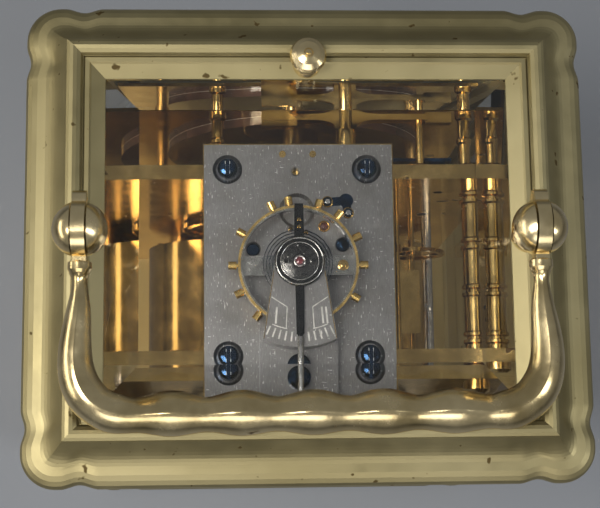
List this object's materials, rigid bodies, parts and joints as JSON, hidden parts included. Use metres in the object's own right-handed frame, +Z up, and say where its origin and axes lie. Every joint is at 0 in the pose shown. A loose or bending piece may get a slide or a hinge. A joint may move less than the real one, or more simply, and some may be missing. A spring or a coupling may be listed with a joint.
{
  "type": "carriage clock",
  "caption": "Rectangular brass and glass travelling clock with a folding bail handle, glazed back door, top window over a lever platform and push button repeat.",
  "frame": {"origin": "middle of the base's underside, where the clock stands on a shelf", "axes": "+Z up, -Y out of the dial side, +Y out of the back door, +X to the viewer's right when facing the dial"},
  "size_m": [0.095, 0.0816, 0.1367],
  "materials": {
    "case_brass": "satin lacquered brass, slightly green with age",
    "polished_brass": "polished brass",
    "glass": "clear bevelled plate glass",
    "blued_steel": "heat-blued steel",
    "platform_steel": "silvered, grained plate",
    "movement_brass": "gilt brass",
    "polished_steel": "polished steel",
    "black_steel": "black polished steel",
    "dial_enamel": "white vitreous enamel"
  },
  "bodies": {
    "clock": {"base_plinth": "case_brass", "base_plate": "case_brass", "corner_pillars": "case_brass", "cornice_frame": "case_brass", "door_hinge_pins": "case_brass", "handle_knuckles": "polished_brass", "handle_pivot_pins": "polished_brass", "button_bush": "polished_brass", "top_glass": "glass", "front_glass": "glass", "side_glass_left": "glass", "side_glass_right": "glass", "escape_end_piece": "blued_steel", "bridge_screws": "blued_steel", "platform_screws": "blued_steel", "repeat_spring": "blued_steel", "gong": "blued_steel", "platform": "platform_steel", "balance_cock": "platform_steel", "front_plate": "movement_brass", "back_plate": "movement_brass", "movement_pillars": "movement_brass", "escapement_bridges": "movement_brass", "dial_mask": "movement_brass", "plate_studs": "movement_brass", "plate_screws": "movement_brass", "gong_block": "movement_brass", "base_screws": "polished_steel", "ratchet_clicks": "polished_steel", "balance_cap": "black_steel", "dial": "dial_enamel"},
    "handle": {"handle": "polished_brass"},
    "back_door": {"back_door_frame": "case_brass", "back_door_glass": "glass", "door_knob": "case_brass"},
    "repeat_button": {"repeat_button": "polished_brass"},
    "repeat_lever": {"repeat_lever": "movement_brass"},
    "contrate_wheel": {"contrate_wheel": "movement_brass"},
    "escape_wheel": {"escape_wheel": "movement_brass"},
    "third_wheel": {"third_wheel": "movement_brass"},
    "centre_wheel": {"centre_wheel": "movement_brass"},
    "middle_wheel": {"middle_wheel": "movement_brass"},
    "going_barrel": {"going_barrel": "movement_brass"},
    "warning_wheel": {"warning_wheel": "movement_brass"},
    "fly": {"fly": "movement_brass"},
    "pin_wheel": {"pin_wheel": "movement_brass"},
    "strike_middle_wheel": {"strike_middle_wheel": "movement_brass"},
    "strike_barrel": {"strike_barrel": "movement_brass"},
    "going_arbor": {"going_arbor": "polished_steel"},
    "strike_arbor": {"strike_arbor": "polished_steel"},
    "minute_hand": {"cannon_pinion": "movement_brass", "minute_hand": "blued_steel"},
    "minute_wheel": {"minute_wheel": "movement_brass"},
    "hour_hand": {"hour_wheel": "movement_brass", "hour_hand": "blued_steel"},
    "balance": {"balance_wheel": "movement_brass", "hairspring": "blued_steel"},
    "pallet_lever": {"pallet_lever": "polished_steel"},
    "regulator": {"regulator": "black_steel"},
    "hammer": {"hammer": "polished_steel"}
  },
  "joints": [
    {"name": "handle_fold", "type": "hinge", "parent": "clock", "child": "handle", "pos_m": [0, 0, 0.132], "axis": [1, 0, 0], "range_deg": [0, 165]},
    {"name": "back_door_swing", "type": "hinge", "parent": "clock", "child": "back_door", "pos_m": [0.0333, 0.034, 0.065], "axis": [0, 0, -1], "range_deg": [0, 105]},
    {"name": "repeat_press", "type": "slide", "parent": "clock", "child": "repeat_button", "axis": [0, 0, -1], "range_m": [0, 0.0012], "stiffness_N_per_m": 250, "springref_m": -0.0006},
    {"name": "repeat_lever_rock", "type": "hinge", "parent": "clock", "child": "repeat_lever", "pos_m": [-0.008, 0, 0.1032], "axis": [0, 1, 0], "range_deg": [0, 8.7]},
    {"name": "contrate_spin", "type": "hinge", "parent": "clock", "child": "contrate_wheel", "pos_m": [-0.00735, 0, 0.0914], "axis": [0, 1, 0], "continuous": true},
    {"name": "escape_spin", "type": "hinge", "parent": "clock", "child": "escape_wheel", "pos_m": [-0.00735, -0.00876, 0.11], "axis": [0, 0, 1], "continuous": true},
    {"name": "third_spin", "type": "hinge", "parent": "clock", "child": "third_wheel", "pos_m": [-0.00179, 0, 0.08076], "axis": [0, 1, 0], "continuous": true},
    {"name": "centre_spin", "type": "hinge", "parent": "clock", "child": "centre_wheel", "pos_m": [0, 0, 0.069], "axis": [0, 1, 0], "continuous": true},
    {"name": "middle_spin", "type": "hinge", "parent": "clock", "child": "middle_wheel", "pos_m": [0.01158, 0, 0.06339], "axis": [0, 1, 0], "continuous": true},
    {"name": "going_barrel_spin", "type": "hinge", "parent": "clock", "child": "going_barrel", "pos_m": [0.016, 0, 0.046], "axis": [0, 1, 0], "continuous": true},
    {"name": "warning_spin", "type": "hinge", "parent": "clock", "child": "warning_wheel", "pos_m": [-0.02214, 0, 0.08252], "axis": [0, 1, 0], "continuous": true},
    {"name": "fly_spin", "type": "hinge", "parent": "clock", "child": "fly", "pos_m": [-0.01852, 0, 0.08879], "axis": [0, 1, 0], "continuous": true},
    {"name": "pin_wheel_spin", "type": "hinge", "parent": "clock", "child": "pin_wheel", "pos_m": [-0.01628, 0, 0.07501], "axis": [0, 1, 0], "continuous": true},
    {"name": "strike_middle_spin", "type": "hinge", "parent": "clock", "child": "strike_middle_wheel", "pos_m": [-0.01158, 0, 0.06339], "axis": [0, 1, 0], "continuous": true},
    {"name": "strike_barrel_spin", "type": "hinge", "parent": "clock", "child": "strike_barrel", "pos_m": [-0.016, 0, 0.046], "axis": [0, 1, 0], "continuous": true},
    {"name": "going_winding", "type": "hinge", "parent": "clock", "child": "going_arbor", "pos_m": [0.016, 0, 0.046], "axis": [0, 1, 0], "continuous": true},
    {"name": "strike_winding", "type": "hinge", "parent": "clock", "child": "strike_arbor", "pos_m": [-0.016, 0, 0.046], "axis": [0, 1, 0], "continuous": true},
    {"name": "minute_hand_set", "type": "hinge", "parent": "clock", "child": "minute_hand", "pos_m": [0, 0, 0.069], "axis": [0, 1, 0], "continuous": true},
    {"name": "minute_wheel_spin", "type": "hinge", "parent": "clock", "child": "minute_wheel", "pos_m": [-0.00688, 0, 0.05917], "axis": [0, 1, 0], "continuous": true},
    {"name": "hour_hand_spin", "type": "hinge", "parent": "clock", "child": "hour_hand", "pos_m": [0, 0, 0.069], "axis": [0, 1, 0], "continuous": true},
    {"name": "balance_swing", "type": "hinge", "parent": "clock", "child": "balance", "pos_m": [0.00135, 0.00325, 0.11], "axis": [0, 0, 1], "range_deg": [-22, 22], "stiffness_Nm_per_rad": 0.000045},
    {"name": "pallet_lever_rock", "type": "hinge", "parent": "clock", "child": "pallet_lever", "pos_m": [-0.00345, -0.00425, 0.11], "axis": [0, 0, 1], "range_deg": [-3.3, 3.3]},
    {"name": "regulator_shift", "type": "hinge", "parent": "clock", "child": "regulator", "pos_m": [0.00135, 0.00325, 0.11], "axis": [0, 0, 1], "range_deg": [-12, 12]},
    {"name": "hammer_swing", "type": "hinge", "parent": "clock", "child": "hammer", "pos_m": [-0.0265, 0, 0.073], "axis": [0, 1, 0], "range_deg": [-3.5, 12], "stiffness_Nm_per_rad": 0.002}
  ],
  "couplings": [
    {"joint": "repeat_lever_rock", "follows": "repeat_press", "rad_per_m": 125},
    {"joint": "escape_spin", "follows": "contrate_spin", "ratio": -11.429},
    {"joint": "third_spin", "follows": "contrate_spin", "ratio": -0.14286},
    {"joint": "centre_spin", "follows": "contrate_spin", "ratio": 0.019048},
    {"joint": "middle_spin", "follows": "contrate_spin", "ratio": -0.0034632},
    {"joint": "going_barrel_spin", "follows": "contrate_spin", "ratio": 0.00051948},
    {"joint": "fly_spin", "follows": "warning_spin", "ratio": -6.25},
    {"joint": "pin_wheel_spin", "follows": "warning_spin", "ratio": -0.13333},
    {"joint": "strike_middle_spin", "follows": "warning_spin", "ratio": 0.020202},
    {"joint": "strike_barrel_spin", "follows": "warning_spin", "ratio": -0.0030303},
    {"joint": "minute_wheel_spin", "follows": "minute_hand_set", "ratio": -0.33333},
    {"joint": "hour_hand_spin", "follows": "minute_hand_set", "ratio": 0.083333},
    {"joint": "pallet_lever_rock", "follows": "balance_swing", "ratio": -0.13368}
  ]
}
